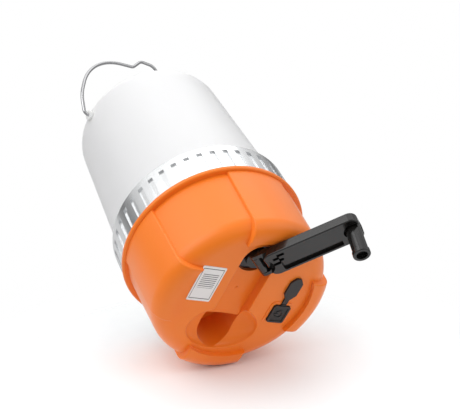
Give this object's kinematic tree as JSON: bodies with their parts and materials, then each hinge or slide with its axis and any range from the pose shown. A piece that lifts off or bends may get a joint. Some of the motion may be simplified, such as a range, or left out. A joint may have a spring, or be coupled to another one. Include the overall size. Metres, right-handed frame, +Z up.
{
  "type": "wind-up camping lantern",
  "caption": "Camping lantern with a frosted cylindrical diffuser, a slotted chrome ring, an orange base with a fold-out dynamo crank, and a wire bail.",
  "frame": {"origin": "on the lantern's axis, in the plane of its four feet", "axes": "+Z up along the lantern's axis, from the base to the diffuser's closed top; +X from the crank's hub towards the pocket for its knob"},
  "size_m": [0.1394, 0.1205, 0.2749],
  "materials": {
    "orange_shell": "moulded ABS, soft gloss",
    "crank_black": "moulded black plastic, glossy",
    "chrome_trim": "bright plated",
    "milk_diffuser": "frosted translucent white",
    "wire_chrome": "bright plated spring wire",
    "soft_black": "silicone rubber, satin",
    "label_film": "silver printed film",
    "steel_parts": "zinc plated",
    "brass_parts": "turned",
    "copper_wire": "enamelled winding",
    "gear_nylon": "natural nylon",
    "magnet_black": "sintered ferrite",
    "board_green": "solder mask",
    "inner_black": "moulded",
    "white_inner": "white moulded",
    "led_white": "phosphor over white package",
    "cell_wrap": "shrink-wrapped cell"
  },
  "bodies": {
    "base": {"base_housing": "orange_shell", "hub_bush": "brass_parts", "label": "label_film", "gearbox_plate_lower": "steel_parts", "gearbox_plate_upper": "steel_parts", "gearbox_pillars": "steel_parts", "gearbox_screws": "steel_parts", "layshaft_pin": "steel_parts", "dynamo_can": "steel_parts", "dynamo_coil": "copper_wire", "main_board": "board_green", "board_screws": "steel_parts", "usb_socket": "steel_parts", "usb_tongue": "inner_black", "tact_switch": "inner_black", "charge_chip": "inner_black", "battery_cell": "cell_wrap", "battery_holder": "inner_black", "battery_contacts": "steel_parts", "cover_root": "soft_black", "deck_plate": "white_inner", "deck_screws": "steel_parts", "seal_ring": "soft_black", "reflector": "white_inner", "led_board": "white_inner", "led_emitters": "led_white", "chrome_ring": "chrome_trim", "diffuser": "milk_diffuser"},
    "hub": {"crank_hub": "crank_black", "drive_gear": "gear_nylon", "hub_clip": "steel_parts"},
    "arm": {"crank_arm": "crank_black", "hinge_pin": "steel_parts", "knob_axle": "steel_parts"},
    "knob": {"crank_knob": "crank_black"},
    "layshaft": {"compound_gear": "gear_nylon"},
    "rotor": {"dynamo_pinion": "brass_parts", "dynamo_shaft": "steel_parts", "dynamo_magnet": "magnet_black"},
    "bail": {"bail": "wire_chrome"},
    "button": {"power_button": "soft_black"},
    "cover": {"port_cover": "soft_black"}
  },
  "joints": [
    {"name": "crank_spin", "type": "hinge", "parent": "base", "child": "hub", "pos_m": [-0.0276, 0.0045, 0], "axis": [0, 0, 1], "continuous": true},
    {"name": "crank_fold", "type": "hinge", "parent": "hub", "child": "arm", "pos_m": [-0.0276, 0.0045, 0.003], "axis": [0.5878, -0.809, 0], "range_deg": [0, 118]},
    {"name": "knob_spin", "type": "hinge", "parent": "arm", "child": "knob", "pos_m": [-0.07024, -0.02648, -0.01943], "axis": [0.182, 0.1322, -0.9744], "continuous": true},
    {"name": "layshaft_spin", "type": "hinge", "parent": "base", "child": "layshaft", "pos_m": [-0.0192, -0.01005, 0], "axis": [0, 0, 1], "continuous": true},
    {"name": "rotor_spin", "type": "hinge", "parent": "base", "child": "rotor", "pos_m": [-0.00623, -0.01477, 0], "axis": [0, 0, 1], "continuous": true},
    {"name": "bail_swing", "type": "hinge", "parent": "base", "child": "bail", "pos_m": [0, 0, 0.1775], "axis": [-0.1045, 0.9945, 0], "range_deg": [-90, 136]},
    {"name": "button_press", "type": "slide", "parent": "base", "child": "button", "axis": [0, 0, 1], "range_m": [0, 0.0008], "stiffness_N_per_m": 400, "springref_m": -0.0005},
    {"name": "cover_flap", "type": "hinge", "parent": "base", "child": "cover", "pos_m": [-0.0007, -0.0284, 0.0024], "axis": [0, -1, 0], "range_deg": [0, 100]}
  ],
  "couplings": [
    {"joint": "layshaft_spin", "follows": "crank_spin", "ratio": -3},
    {"joint": "rotor_spin", "follows": "crank_spin", "ratio": 10.8}
  ]
}
